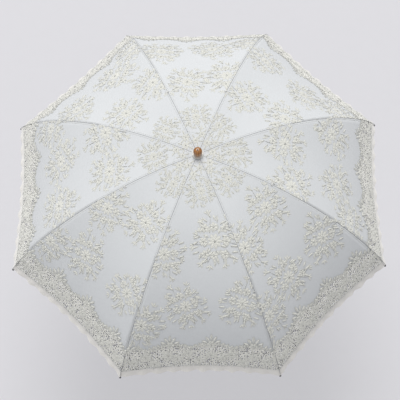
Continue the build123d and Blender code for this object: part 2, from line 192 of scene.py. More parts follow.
def shader_group(name, inputs, outputs):
    """Empty node group with named number inputs and outputs; returns it with its ends."""
    group = bpy.data.node_groups.new(name, "ShaderNodeTree")
    for label, kind, value in inputs:
        socket = group.interface.new_socket(label, in_out="INPUT", socket_type=kind)
        if value is not None:
            socket.default_value = value
    for label, kind in outputs:
        group.interface.new_socket(label, in_out="OUTPUT", socket_type=kind)
    return group, group.nodes.new("NodeGroupInput").outputs, group.nodes.new("NodeGroupOutput").inputs


FLOAT, VECTOR, COUNT = "NodeSocketFloat", "NodeSocketVector", "NodeSocketInt"


def make_weave_group():
    """Plain weave: two sets of threads over and under, uneven as spun yarn is."""
    group, given, out = shader_group(
        "weave", (("Place", VECTOR, None), ("Threads per metre", FLOAT, 1400.0), ("Unevenness", FLOAT, 0.3)),
        (("Height", FLOAT), ("Gaps", FLOAT)))
    wobble = noise(group, given[0], 260.0)
    shift = times(group, times(group, wobble, given[2]), 4.0)
    part = split(group, given[0])
    sets = []
    for i in (0, 1):
        angle = times(group, times(group, part[i], given[1]), math.pi)
        sets.append(ripple(group, plus(group, angle, shift)))
    over = times(group, *sets)
    group.links.new(plus(group, over, times(group, wobble, 0.4)), out[0])
    group.links.new(maths(group, "SUBTRACT", 1.0, over), out[1])
    return group


def make_twist_group():
    """Twisted thread: fine slanting plies with stray fluff."""
    group, given, out = shader_group(
        "twist", (("Place", VECTOR, None), ("Plies per metre", FLOAT, 900.0)),
        (("Height", FLOAT), ("Fluff", FLOAT)))
    fluff = noise(group, given[0], 1800.0, 3.0)
    part = split(group, given[0])
    slant = plus(group, part[0], plus(group, part[1], part[2]))
    turn = maths(group, "SINE", times(group, times(group, slant, given[1]), 2 * math.pi))
    group.links.new(plus(group, times(group, turn, 0.5), fluff), out[0])
    group.links.new(fluff, out[1])
    return group


def make_grain_group():
    """Wood grain along Z: long streaks, growth rings and pores."""
    group, given, out = shader_group(
        "grain", (("Place", VECTOR, None), ("Ring scale", FLOAT, 90.0)), (("Rings", FLOAT), ("Pores", FLOAT)))
    along_grain = scaled(group, given[0], (1.0, 1.0, 0.09))
    warp = noise(group, along_grain, 120.0, 4.0)
    across = plus(group, split(group, along_grain)[0], times(group, warp, 0.012))
    ring = maths(group, "SINE", times(group, times(group, across, given[1]), 12.0))
    group.links.new(plus(group, times(group, ring, 0.35), warp), out[0])
    group.links.new(noise(group, along_grain, 1500.0), out[1])
    return group


def make_wear_group():
    """Rubbed and dusty patches, with fine scratches, for metal, paint and varnish."""
    group, given, out = shader_group(
        "wear", (("Place", VECTOR, None), ("Patch scale", FLOAT, 60.0), ("Amount", FLOAT, 0.5)),
        (("Rubbed", FLOAT), ("Scratches", FLOAT)))
    patch = node(group, "ShaderNodeTexNoise", {"Detail": 5.0}, {"Vector": given[0], "Scale": given[1]})
    rubbed = node(group, "ShaderNodeMapRange", {1: 0.5, 2: 0.72}, {0: patch.outputs[0]})
    group.links.new(times(group, rubbed.outputs[0], given[2]), out[0])
    group.links.new(noise(group, scaled(group, given[0], (900.0, 900.0, 60.0)), 1.0), out[1])
    return group


groups = {"weave": make_weave_group(), "twist": make_twist_group(),
          "grain": make_grain_group(), "wear": make_wear_group()}


def material(name, roughness, sheen=0.0, **more):
    """New material with one Principled shader; returns its tree, shader and object place."""
    made = bpy.data.materials.new(name)
    made.use_nodes = True
    tree = made.node_tree
    shader = tree.nodes["Principled BSDF"]
    shader.inputs["Roughness"].default_value = roughness
    shader.inputs["Sheen Weight"].default_value = sheen
    for label, value in more.items():
        shader.inputs[label.replace("_", " ")].default_value = value
    place = tree.nodes.new("ShaderNodeTexCoord").outputs["Object"]
    return made, tree, shader, place


def effect(tree, name, place, **values):
    """One of the shared groups, placed in a material with its own values."""
    made = node(tree, "ShaderNodeGroup", node_tree=groups[name])
    tree.links.new(place, made.inputs[0])
    for label, value in values.items():
        made.inputs[label.replace("_", " ")].default_value = value
    return made.outputs


def bump(tree, shader, height, depth, strength=1.0):
    made = node(tree, "ShaderNodeBump", {"Strength": strength, "Distance": depth}, {"Height": height})
    tree.links.new(made.outputs[0], shader.inputs["Normal"])


def cloth_place(tree):
    return node(tree, "ShaderNodeUVMap", uv_map="flat").outputs[0]


def paint(tree, shader, share, first, second):
    """Colours a surface between two tones."""
    tree.links.new(mix_colour(tree, share, first, second), shader.inputs["Base Color"])


def make_ground_material():
    """Fine plain-woven ground cloth, faintly cloudy."""
    made, tree, shader, place = material("ground_cloth", 0.85, 0.08)
    weave = effect(tree, "weave", cloth_place(tree), Threads_per_metre=1100.0, Unevenness=0.35)
    cloud = noise(tree, place, 9.0, 3.0)
    base = mix_colour(tree, cloud, (0.690, 0.706, 0.716), (0.725, 0.740, 0.750))
    paint(tree, shader, times(tree, weave[1], 0.12), base, (0.52, 0.545, 0.56))
    bump(tree, shader, weave[0], 0.0002, 0.5)
    return made


def make_thread_material(name, light, dark, plies, depth):
    """Cotton thread, twisted, its tone a little uneven with fluff."""
    made, tree, shader, place = material(name, 0.75, 0.3)
    twist = effect(tree, "twist", place, Plies_per_metre=plies)
    share = plus(tree, times(tree, twist[1], 0.5), times(tree, noise(tree, place, 35.0), 0.5))
    paint(tree, shader, share, dark, light)
    bump(tree, shader, twist[0], depth, 0.8)
    return made


def make_satin_material():
    """Satin stitch: threads side by side across a petal, from the petal's own map."""
    made, tree, shader, place = material("satin_stitch", 0.6, 0.6)
    stray = noise(tree, place, 420.0)
    along_petal = times(tree, split(tree, cloth_place(tree))[1], 2600.0)
    thread = ripple(tree, plus(tree, along_petal, times(tree, stray, 3.0)))
    tone = plus(tree, times(tree, thread, 0.6), times(tree, stray, 0.5))
    paint(tree, shader, tone, (0.68, 0.678, 0.615), (0.895, 0.89, 0.82))
    bump(tree, shader, thread, 0.0004, 0.8)
    return made


def make_edging_material():
    """Close woven braid with ribs across it and a faint pink cast."""
    made, tree, shader, place = material("edging_braid", 0.8, 0.6)
    flat = cloth_place(tree)
    ribs = ripple(tree, times(tree, split(tree, flat)[0], 1500.0))
    weave = effect(tree, "weave", flat, Threads_per_metre=800.0)
    base = mix_colour(tree, noise(tree, place, 22.0, 3.0), (0.90, 0.88, 0.83), (0.93, 0.895, 0.845))
    paint(tree, shader, times(tree, weave[1], 0.12), base, (0.42, 0.41, 0.37))
    bump(tree, shader, plus(tree, ribs, weave[0]), 0.0002, 0.6)
    return made


def make_wood_material(name, light, dark, roughness, coat, rings):
    """Varnished wood, its pores darker than its rings, duller where it is rubbed."""
    made, tree, shader, place = material(name, roughness, Coat_Weight=coat, Coat_Roughness=0.12)
    grain = effect(tree, "grain", place, Ring_scale=rings)
    wear = effect(tree, "wear", place, Patch_scale=45.0, Amount=0.6)
    tone = mix_colour(tree, grain[0], dark, light)
    pores = tuple(c * 0.45 for c in dark)
    paint(tree, shader, times(tree, grain[1], 0.35), tone, pores)
    tree.links.new(plus(tree, roughness, times(tree, wear[0], 0.25)), shader.inputs["Roughness"])
    bump(tree, shader, plus(tree, grain[1], times(tree, grain[0], 0.4)), 0.00012, 0.6)
    return made


def make_metal_material(name, base, dull, metallic, roughness, patches):
    """Bare or painted metal, dull in patches and finely scratched."""
    made, tree, shader, place = material(name, roughness, Metallic=metallic)
    wear = effect(tree, "wear", place, Patch_scale=patches, Amount=0.8)
    paint(tree, shader, wear[0], base, dull)
    tree.links.new(plus(tree, roughness, times(tree, wear[1], 0.2)), shader.inputs["Roughness"])
    bump(tree, shader, wear[1], 0.00003, 0.4)
    return made


def make_plain_material(name, base, dusty, roughness, coat):
    """Moulded or lacquered piece with a trace of dust."""
    made, tree, shader, place = material(name, roughness, Coat_Weight=coat)
    wear = effect(tree, "wear", place, Patch_scale=160.0, Amount=0.5)
    paint(tree, shader, wear[0], base, dusty)
    bump(tree, shader, wear[1], 0.00004, 0.3)
    return made


finishes = {
    "ground": make_ground_material(), "satin": make_satin_material(), "edging": make_edging_material()}


def add_finishes(make, **rows):
    for name, values in rows.items():
        finishes[name] = make(name, *values)


add_finishes(make_thread_material,       # light, dark, plies per metre, depth of the twist
             # this thread makes the running stitches, and also the rims of painted shade under the petals
             outline_stitch=((0.80, 0.80, 0.755), (0.69, 0.69, 0.64), 1300.0, 0.0002),
             embroidery_cord=((0.88, 0.882, 0.85), (0.70, 0.70, 0.66), 1100.0, 0.0003),
             # the net's thread is near black: painted shade, standing for the shadow seen through the lace's holes
             lace_thread=((0.15, 0.15, 0.13), (0.08, 0.08, 0.07), 900.0, 0.0002),
             eyelet_thread=((0.94, 0.93, 0.86), (0.84, 0.83, 0.76), 1100.0, 0.0002),
             seam_thread=((0.42, 0.425, 0.43), (0.30, 0.305, 0.31), 1200.0, 0.0002),
             tack_thread=((0.9, 0.9, 0.88), (0.7, 0.7, 0.68), 1200.0, 0.0002))
add_finishes(make_wood_material,         # light, dark, roughness, varnish, scale of the rings
             finial_wood=((0.52, 0.235, 0.06), (0.24, 0.085, 0.018), 0.32, 0.6, 120.0),
             stick_wood=((0.56, 0.36, 0.18), (0.36, 0.20, 0.09), 0.42, 0.3, 70.0))
add_finishes(make_metal_material,        # clean, dull, metallic share, roughness, scale of the patches
             rib_paint=((0.78, 0.78, 0.76), (0.45, 0.44, 0.42), 0.0, 0.38, 70.0),
             nickel=((0.66, 0.64, 0.61), (0.42, 0.39, 0.35), 1.0, 0.24, 110.0),
             brass=((0.72, 0.52, 0.24), (0.38, 0.25, 0.10), 1.0, 0.22, 90.0))
add_finishes(make_plain_material,        # clean, dusty, roughness, lacquer
             ivory_rosette=((0.76, 0.74, 0.69), (0.60, 0.58, 0.52), 0.5, 0.2),
             black_bead=((0.015, 0.015, 0.016), (0.06, 0.06, 0.06), 0.15, 0.6))


# ---------------------------- the cloth's shape

def arc(start, end, end_slope, count):
    """Points of the arc between two (radius, height) points with a known slope at one end."""
    run, fall = end[0] - start[0], start[1] - end[1]
    chord_slope = math.atan2(fall, run)
    turn = 2 * (end_slope - chord_slope)
    slopes = np.linspace(end_slope - turn, end_slope, count)
    size = math.hypot(run, fall) / (2 * math.sin(turn / 2))
    radius = start[0] + size * (np.sin(slopes) - math.sin(slopes[0]))
    height = start[1] - size * (math.cos(slopes[0]) - np.cos(slopes))
    return radius, height


def gore_line():
    """Middle line of a gore: (down, out, height, normal out, normal up, half width)."""
    def point(place):
        return math.hypot(place[0], place[1]), place[2]

    crown = point(joints["rib_1_fold"]["pos_m"])
    rivet = point(joints["rib_end_1_flex"]["pos_m"])
    low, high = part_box("tip_bead_1")
    tip = point((low + high) / 2)
    chord = math.atan2(rivet[1] - tip[1], tip[0] - rivet[0])
    inner = arc(crown, rivet, RIVET_SLOPE, 160)
    tip_slope = 2 * chord - RIVET_SLOPE
    outer = arc(rivet, tip, tip_slope, 200)
    radius = np.concatenate([[0.002], inner[0], outer[0][1:]])
    height = np.concatenate([[inner[1][0]], inner[1], outer[1][1:]])
    out = radius * math.cos(HALF)
    down = np.concatenate([[0], np.cumsum(np.hypot(np.diff(out), np.diff(height)))]) + out[0]
    slope = np.arctan2(-np.gradient(height, down), np.gradient(out, down))
    return down, out, height, np.sin(slope), np.cos(slope), radius * math.sin(HALF)


LINE = gore_line()
LENGTH = float(LINE[0][-1]) - CORNER_SHORT
RIVET_HEIGHT = joints["rib_end_1_flex"]["pos_m"][2]
RIVET_DOWN = float(np.interp(-RIVET_HEIGHT, -LINE[2][1:], LINE[0][1:]))
CUT_LEVEL = RIVET_HEIGHT + RIB_TO_CLOTH


def along(column, down):
    return np.interp(down, LINE[0], LINE[column])


def half_width(down):
    return along(5, down)


def edge_down(share):
    """Where the cloth's edge lies, down the gore, at a share of its half width."""
    return LENGTH - EDGE_HOLLOW * (1 - np.asarray(share) ** 2)


def band_width(share):
    """Width of the lace border: round scallops that point at the shaft."""
    across = np.asarray(share) * half_width(LENGTH) + SCALLOP * 0.22
    in_scallop = np.mod(across / SCALLOP, 1.0) * 2 - 1
    return BAND_LOW + BAND_RISE * np.sqrt(np.clip(1 - in_scallop ** 2, 0, 1)) ** 0.8


def band_top(share):
    return edge_down(share) - band_width(share)


def lay(points, turn=0.0):
    """Bends flat gore points (across, down, lift) over the open frame."""
    points = np.asarray(points, float)
    across, down, lift = points.T
    width = np.maximum(half_width(down), 1e-6)
    share = np.clip(across / width, -1.2, 1.2)
    fullness = np.clip((down - 0.04) / 0.2, 0, 1) * np.clip((LENGTH + 0.01 - down) / 0.03, 0.55, 1)
    off = RIB_TO_CLOTH + lift - SAG * fullness * (1 - np.minimum(share ** 2, 1)) * (1 - 0.3 * share ** 2)
    normal_out, normal_up = along(3, down), along(4, down)
    out = along(1, down) + normal_out * off
    height = along(2, down) + normal_up * off
    wide = across * (1 + normal_out * off / np.maximum(along(1, down), 0.004))
    c, s = math.cos(turn), math.sin(turn)
    return np.stack([out * c - wide * s, out * s + wide * c, height], axis=1)


# ---------------------------- mesh helpers

def link(name, data):
    made = bpy.data.objects.new(name, data)
    bpy.context.scene.collection.objects.link(made)
    return made


def map_flat(mesh, flat):
    """Keeps each point's flat place, in metres, as the mesh's map."""
    layer = mesh.uv_layers.new(name="flat")
    corner = np.empty(len(mesh.loops), int)
    mesh.loops.foreach_get("vertex_index", corner)
    layer.data.foreach_set("uv", np.asarray(flat, float)[corner, :2].ravel())


def mesh_object(name, points, faces=(), edges=(), flat=None, finish=None):
    mesh = bpy.data.meshes.new(name)
    mesh.from_pydata([tuple(p) for p in points], [tuple(e) for e in edges], [tuple(f) for f in faces])
    if flat is not None:
        map_flat(mesh, flat)
    if finish:
        mesh.materials.append(finishes[finish])
    return link(name, mesh)


def coordinates(mesh):
    found = np.empty(len(mesh.vertices) * 3)
    mesh.vertices.foreach_get("co", found)
    return found.reshape(-1, 3)


def run_nodes(source, tree, inputs, name):
    """Runs a Geometry Nodes tree on an object and returns the plain mesh it makes."""
    modifier = source.modifiers.new("make", "NODES")
    modifier.node_group = tree
    for item in tree.interface.items_tree:
        if item.item_type == "SOCKET" and item.in_out == "INPUT" and item.name in inputs:
            modifier[item.identifier] = inputs[item.name]
    depsgraph = bpy.context.evaluated_depsgraph_get()
    made = bpy.data.meshes.new_from_object(source.evaluated_get(depsgraph), depsgraph=depsgraph)
    made.name = name
    source.modifiers.remove(modifier)
    bpy.data.objects.remove(source)
    return made


def geometry_tree(name, inputs):
    """Empty tree with named inputs and a finish; returns it, its inputs and its output."""
    tree = bpy.data.node_groups.new(name, "GeometryNodeTree")
    for label, kind, value in (("Geometry", "NodeSocketGeometry", None), *inputs,
                               ("Finish", "NodeSocketMaterial", None)):
        socket = tree.interface.new_socket(label, in_out="INPUT", socket_type=kind)
        if value is not None:
            socket.default_value = value
    tree.interface.new_socket("Geometry", in_out="OUTPUT", socket_type="NodeSocketGeometry")
    return tree, tree.nodes.new("NodeGroupInput").outputs, tree.nodes.new("NodeGroupOutput").inputs[0]


def end_tree(tree, made, finish, out, **chosen):
    """Ends a tree in real geometry with its finish, all over or only where chosen."""
    real = node(tree, "GeometryNodeRealizeInstances", links={0: made.outputs[0]})
    done = node(tree, "GeometryNodeSetMaterial", links={0: real.outputs[0], "Material": finish, **chosen})
    tree.links.new(done.outputs[0], out)
    return tree


def make_thread_tree():
    """Lays a round thread along every edge of a drawing."""
    tree, given, out = geometry_tree("threads", (("Thickness", FLOAT, 0.001), ("Sides", COUNT, 4)))
    path = node(tree, "GeometryNodeMeshToCurve", links={0: given[0]})
    half = times(tree, given[1], 0.5)
    ring = node(tree, "GeometryNodeCurvePrimitiveCircle", links={"Resolution": given[2], "Radius": half})
    tube = node(tree, "GeometryNodeCurveToMesh", links={0: path.outputs[0], 1: ring.outputs[0]})
    return end_tree(tree, tube, given[3], out)


def make_net_tree():
    """Six-sided net over a rectangle, pulled a little out of true."""
    tree, given, out = geometry_tree("net", (
        ("Width", FLOAT, 0.4), ("Length", FLOAT, 0.12), ("Columns", COUNT, 80),
        ("Rows", COUNT, 24), ("Pull", FLOAT, 0.0012), ("Seed", FLOAT, 3.0)))
    grid = node(tree, "GeometryNodeMeshGrid", links={
        "Size X": given[1], "Size Y": given[2], "Vertices X": given[3], "Vertices Y": given[4]})
    cut = node(tree, "GeometryNodeTriangulate", links={0: grid.outputs[0]})
    hexes = node(tree, "GeometryNodeDualMesh", links={0: cut.outputs[0]})
    place = node(tree, "GeometryNodeInputPosition")
    stray = node(tree, "ShaderNodeTexNoise", {"Scale": 110.0}, {"Vector": place.outputs[0], "W": given[6]},
                 noise_dimensions="4D")
    centred = node(tree, "ShaderNodeVectorMath", {1: (0.5, 0.5, 0.5)}, {0: stray.outputs["Color"]},
                   operation="SUBTRACT")
    moved = node(tree, "ShaderNodeVectorMath", links={0: centred.outputs[0], "Scale": given[5]},
                 operation="SCALE")
    flat = scaled(tree, moved.outputs[0], (6.0, 6.0, 0.0))
    pulled = node(tree, "GeometryNodeSetPosition", links={0: hexes.outputs[0], "Offset": flat})
    return end_tree(tree, pulled, given[7], out)


def make_sprinkle_tree():
    """Puts one drawing at every point, turned and sized by the point's own values.

    The finish goes on its filled shapes; its cords and its rims of painted shade keep their own.
    """
    tree, given, out = geometry_tree(
        "sprinkle", (("Drawing", "NodeSocketObject", None), ("Size", FLOAT, 1.0)))
    shape = node(tree, "GeometryNodeObjectInfo", links={0: given[1]})
    turn, size = (node(tree, "GeometryNodeInputNamedAttribute", {"Name": label}, data_type="FLOAT").outputs[0]
                  for label in ("turn", "size"))
    about = node(tree, "ShaderNodeCombineXYZ", links={"Z": turn})
    spread = node(tree, "GeometryNodeInstanceOnPoints", links={
        0: given[0], "Instance": shape.outputs["Geometry"], "Rotation": about.outputs[0],
        "Scale": times(tree, size, given[2])})
    filled = node(tree, "GeometryNodeMaterialSelection", {0: finishes["satin"]})
    return end_tree(tree, spread, given[3], out, Selection=filled.outputs[0])


trees = {"threads": make_thread_tree(), "net": make_net_tree(), "sprinkle": make_sprinkle_tree()}


def tubes(drawing, thickness, finish, sides):
    """Mesh of a thread laid along each edge of a drawing."""
    return run_nodes(drawing, trees["threads"],
                     {"Thickness": thickness, "Sides": sides, "Finish": finishes[finish]}, drawing.name)


def threads(name, lines, thickness, finish, sides=4):
    """Mesh of threads along flat lines; each line is a list of (across, down, lift)."""
    points, edges = [], []
    for line in lines:
        start = len(points)
        points += [tuple(p) for p in line]
        edges += [(i, i + 1) for i in range(start, len(points) - 1)]
    return tubes(mesh_object(name, points, edges=edges), thickness, finish, sides)


def sprinkle(drawing, places, finish="satin"):
    """Mesh of a drawing repeated at (across, down, turn in degrees, size) places."""
    places = np.array(places, float)
    points = mesh_object(drawing, places[:, :3] * (1, 1, 0))
    for label, values in (("turn", np.radians(places[:, 2])), ("size", places[:, 3])):
        points.data.attributes.new(label, "FLOAT", "POINT").data.foreach_set("value", values)
    return run_nodes(points, trees["sprinkle"],
                     {"Drawing": drawings[drawing], "Size": 1.0, "Finish": finishes[finish]}, drawing)


# ---------------------------- embroidery drawings

def petal_outline(length, width):
    """Outline of a petal, wider at its tip."""
    t = np.linspace(0, 2 * math.pi, 9, endpoint=False)
    x = length * (0.5 - 0.5 * np.cos(t))
    return np.stack([x, width / 2 * np.sin(t) * (0.55 + 0.45 * (x / length))], axis=1)


def leaf_outline(length, width):
    """Outline of a leaf, the same at both ends."""
    t = np.linspace(0, 2 * math.pi, 8, endpoint=False)
    x = length * (0.5 - 0.5 * np.cos(t))
    return np.stack([x, width / 2 * np.sin(t) * np.abs(np.sin(t)) ** 0.3], axis=1)


def polar(reach, angle, centre=(0.0, 0.0)):
    return centre[0] + reach * math.cos(angle), centre[1] + reach * math.sin(angle)


def turned(points, angle, shift=(0.0, 0.0)):
    c, s = math.cos(angle), math.sin(angle)
    points = np.asarray(points, float)
    return points @ np.array([[c, s], [-s, c]]) + np.asarray(shift)


class Drawing:
    """Collects filled shapes and cord lines of one embroidered motif, drawn flat."""

    def __init__(self, stretch=(1.0, 1.0)):
        self.stretch = stretch
        self.points, self.faces, self.map, self.lines = [], [], [], []
        # slightly darker rims laid under the petals: painted shade in the gaps between them
        self.under = []

    def fill(self, outline, height):
        """Domed satin-stitched patch inside an outline."""
        start, middle, count = len(self.points), outline.mean(axis=0), len(outline)
        for share, rise in ((1.0, 0.0), (0.6, 0.85)):
            for p in middle + (outline - middle) * share:
                self.points.append((p[0], p[1], height * rise))
                self.map.append((p[0], p[1]))
        self.points.append((middle[0], middle[1], height))
        self.map.append(tuple(middle))
        for i in range(count):
            a, b = start + i, start + (i + 1) % count
            self.faces.append((a, b, b + count, a + count))
            self.faces.append((a + count, b + count, start + 2 * count))

    def line(self, points, lift=0.0006, closed=False):
        points = [(p[0], p[1], lift) for p in points]
        self.lines.append(points + points[:1] if closed else points)

    def petal(self, length, width, angle, shift, leaf=False):
        shift = (shift[0] * self.stretch[0], shift[1] * self.stretch[1])
        outline = turned((leaf_outline if leaf else petal_outline)(length, width), angle, shift)
        self.fill(outline, PETAL_RISE)
        middle = outline.mean(axis=0)
        reach = outline - middle
        away = reach / np.maximum(np.linalg.norm(reach, axis=1), 1e-6)[:, None]
        # A rim a little wider than the petal, in darker thread, underneath it: painted shade between petals.
        wider = middle + reach * 1.08 + 0.0006 * away
        self.under.append([(p[0], p[1], 0.0001) for p in wider])
        if leaf:
            spine = turned([(length * t, 0) for t in (0.0, 0.5, 0.95)], angle, shift)
            self.line(spine, 0.0009)

    def flower(self, centre, size, count, angle=0.0):
        for i in range(count):
            turn = angle + i * 2 * math.pi / count
            self.petal(size * 0.9, size * 4.4 / count, turn, polar(size * 0.14, turn, centre))
        middle = (centre[0] * self.stretch[0], centre[1] * self.stretch[1])
        ring = [polar(size * 0.15, t, middle) for t in np.linspace(0, 2 * math.pi, 6)[:-1]]
        self.line(ring, 0.0011, closed=True)

    def finish(self, name, cord):
        """Joins fills and cords into one object for sprinkling."""
        fills = mesh_object(name + "_fills", self.points, self.faces, flat=self.map, finish="satin")
        if not self.lines:
            return fills
        corded = link(name + "_cords", threads(name + "_cords", self.lines, cord, "embroidery_cord", 3))
        # Rims under the petals, in the outline thread: painted shade in the gaps between them.
        painted_shade_rims = [p for outline in self.under for p in outline]
        sides, start = [], 0
        for outline in self.under:
            sides.append(tuple(range(start, start + len(outline))))
            start += len(outline)
        painted_shade_rims = mesh_object(name + "_rims", painted_shade_rims, sides, flat=painted_shade_rims, finish="outline_stitch")
        return join([fills, corded, painted_shade_rims], name)


def join(objects, name):
    """Joins objects into the first one, with their materials and maps."""
    with bpy.context.temp_override(active_object=objects[0], selected_editable_objects=objects):
        bpy.ops.object.join()
    objects[0].name = objects[0].data.name = name
    return objects[0]


def draw_spray():
    """Large spray: a rose ringed by smaller flowers, leaves and buds, closely set."""
    d = Drawing(SPRAY_STRETCH)
    chance = random.Random(11).uniform
    d.flower((0.0, 0.0), 0.0150, 9)
    d.flower((0.0, 0.0), 0.0075, 6, 0.3)
    for i in range(8):
        angle = i * math.pi / 4 + chance(-0.12, 0.12)
        d.flower(polar(0.027 + 0.007 * (i % 2), angle), 0.0088, 6, angle)
    for i in range(16):
        angle = (i + 0.5) * math.pi / 8 + chance(-0.1, 0.1)
        start = polar(0.0175 if i % 2 else 0.0205, angle)
        d.petal(0.0105, 0.0048, angle + chance(-0.6, 0.6), start, leaf=True)
    for i in range(32):
        angle = i * math.pi / 16 + chance(-0.08, 0.08)
        reach = 0.0365 + chance(-0.005, 0.006) + 0.005 * math.sin(3 * angle)
        length = chance(0.012, 0.018)
        turn = angle + chance(-0.9, 0.9)
        d.petal(length, 0.0040, turn, polar(reach, angle), leaf=i % 3 > 0)
    for i in range(11):
        angle = i * 2 * math.pi / 11 + chance(-0.15, 0.15)
        centre = polar(0.045 + chance(0.0, 0.006) + 0.005 * math.sin(3 * angle), angle)
        for turn in (-0.8, 0.0, 0.8):
            d.petal(0.0100, 0.0036, angle + turn, centre)
        d.line([polar(0.03 + k * 0.006, angle + 0.03 * k) for k in range(4)])
    return d.finish("spray", 0.0012)


def draw_sprig():
    """Small sprig for the gaps: one flower in a ring of leaves."""
    d = Drawing()
    d.flower((0.0, 0.0), 0.011, 6)
    for angle in (0.3, 1.4, 2.4, 3.4, 4.3, 5.4):
        d.petal(0.013, 0.005, angle, polar(0.011, angle), leaf=True)
    return d.finish("sprig", 0.0012)


def draw_border_flower():
    """Open flower of the lace border."""
    d = Drawing()
    d.flower((0.0, 0.0), 0.0125, 7)
    for i in range(7):
        angle = (i + 0.5) * 2 * math.pi / 7
        d.petal(0.010, 0.0045, angle, polar(0.0105, angle), leaf=True)
    return d.finish("border_flower", 0.0013)


def draw_picot():
    """Single leaf of the ragged row along the border's scallops."""
    d = Drawing()
    d.petal(0.0095, 0.0048, 0.0, (-0.004, 0.0), leaf=True)
    return d.finish("picot", 0.0011)


def draw_eyelet():
    """Small worked ring, not quite round; the net, painted near black as shade, shows in its hole."""
    d = Drawing()
    count = 9
    rings = ((0.0024, 0.0), (0.0032, 0.0005), (0.0048, 0.0005), (0.0057, 0.0))
    for radius, height in rings:
        for i in range(count):
            x, y = polar(radius, i * 2 * math.pi / count)
            d.points.append((x, y * (0.86 + 0.1 * (i % 3)), height))
    d.map = d.points
    for a in range(count * (len(rings) - 1)):
        b = a + 1 if (a + 1) % count else a + 1 - count
        d.faces.append((a, a + count, b + count, b))
    return d.finish("eyelet", 0.001)


def draw_crest():
    """Pointed crest that stands on each scallop of the border."""
    d = Drawing()
    d.flower((0.0, 0.0), 0.010, 6)
    for angle, reach, size in ((-1.57, 0.010, 0.016), (-2.1, 0.009, 0.014), (-1.05, 0.009, 0.014),
                               (-2.7, 0.010, 0.012), (-0.45, 0.010, 0.012)):
        d.petal(size, 0.0052, angle, polar(reach, angle), leaf=True)
    for side in (-1, 1):
        for k in range(4):
            place = (side * (0.014 + 0.009 * k), 0.002 + 0.0035 * k)
            d.petal(0.010, 0.0045, -1.57 + side * 0.5, place, leaf=True)
    return d.finish("crest", 0.0012)


# ---------------------------- sharing out over the ribs

def bend_mesh(mesh, turn, lift=0.0, swell=1.0):
    """Lays a flat mesh on the frame, and keeps its flat place as the map if it has none."""
    flat = coordinates(mesh)
    if "flat" not in mesh.uv_layers and len(mesh.loops):
        map_flat(mesh, flat)
    bent = lay(flat * (1, 1, swell) + (0, 0, lift), turn)
    mesh.vertices.foreach_set("co", bent.ravel())
    mesh.update()
    return mesh


def upright_plane(angle):
    """Normal of the upright plane through the shaft in this direction."""
    return Vector((-math.sin(angle), math.cos(angle), 0))


def share_out(mesh, turn, level):
    """Cuts a gore's mesh at its seams and middle, and at a level if there is one."""
    shares = {}
    for side in (-1, 1):
        for part in ("inner", "outer") if level is not None else ("outer",):
            cuts = [(upright_plane(turn) * side, 0), (-upright_plane(turn + side * HALF) * side, 0)]
            if level is not None:
                cuts.append((Vector((0, 0, 1 if part == "inner" else -1)), level))
            piece = bmesh.new()
            piece.from_mesh(mesh)
            for normal, height in cuts:
                geometry = piece.verts[:] + piece.edges[:] + piece.faces[:]
                bmesh.ops.bisect_plane(piece, geom=geometry, plane_co=(0, 0, height), plane_no=-normal,
                                       clear_outer=True, dist=1e-6)
            if piece.faces:
                made = bpy.data.meshes.new(mesh.name)
                piece.to_mesh(made)
                for finish in mesh.materials:
                    made.materials.append(finish)
                shares[side, part] = made
            piece.free()
    return shares


stock = {}


def store(kind, gore, mesh, level=None):
    """Shares a gore's mesh between the two ribs beside it."""
    for (side, part), made in share_out(mesh, middle_of(gore), level).items():
        rib = gore if side < 0 else gore % RIBS + 1
        stock.setdefault((kind, rib, part, -side), []).append(made)
    bpy.data.meshes.remove(mesh)


def embroider(kind, gore, drawing, places, lift, finish="satin", level=None):
    """Works a drawing at its places on one gore."""
    mesh = sprinkle(drawing, places, finish)
    store(kind, gore, bend_mesh(mesh, middle_of(gore), lift), level)


def fold(piece, rib, part):
    """Makes a soft piece ride on its rib."""
    direction = azimuth(rib)
    sideways = Vector((-math.sin(direction), math.cos(direction), 0))
    if part == "inner":
        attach(piece, f"rib_{rib}")
        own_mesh(piece)
        return
    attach(piece, f"rib_end_{rib}")
    rivet = Vector(joints[f"rib_end_{rib}_flex"]["pos_m"])
    low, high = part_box(f"tip_bead_{rib}")
    tip = (low + high) / 2
    chord = (tip - rivet).normalized()
    outward = sideways.cross(chord)
    if outward.z < 0:
        outward = -outward
    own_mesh(piece)


# ---------------------------- canopy cloth

def cloth_grid(rows, columns):
    """Faces of a grid of rows by columns."""
    return [(r * columns + c, r * columns + c + 1, (r + 1) * columns + c + 1, (r + 1) * columns + c)
            for r in range(rows - 1) for c in range(columns - 1)]


def half_gore_cloth(part, side):
    """Flat points and faces of the ground cloth on one side of a gore's middle line.

    One column past the middle and one row past the rivets are tucked under the neighbour.
    """
    columns, rows = 15, 36
    shares = np.concatenate([[-0.05 * side], np.linspace(0, side, columns - 1)])
    points = []
    for row in range(rows):
        t = row / (rows - 1)
        for column, share in enumerate(shares):
            tucked = TUCK if column == 0 else 0.0
            if part == "inner":
                down = APEX_HOLE + t * (RIVET_DOWN + CUT_OVERLAP - APEX_HOLE)
                tucked += 3 * TUCK * np.clip((down - RIVET_DOWN) / 0.006, 0, 1)
            elif row == 0:
                down = RIVET_DOWN - 0.006
                tucked += 2 * TUCK
            else:
                bottom = band_top(share) + 0.004
                down = RIVET_DOWN + (row - 1) / (rows - 2) * (bottom - RIVET_DOWN)
            points.append((share * half_width(down), down, -tucked))
    return np.array(points), cloth_grid(rows, columns)


def beside(rib):
    """The two gores that meet at a rib, with the side of each that it is on."""
    return (rib, -1), ((rib - 2) % RIBS + 1, 1)


def lay_sheet(gore, points, faces, finish="ground"):
    return mesh_object("sheet", lay(points, middle_of(gore)), faces, flat=points[:, :2], finish=finish)


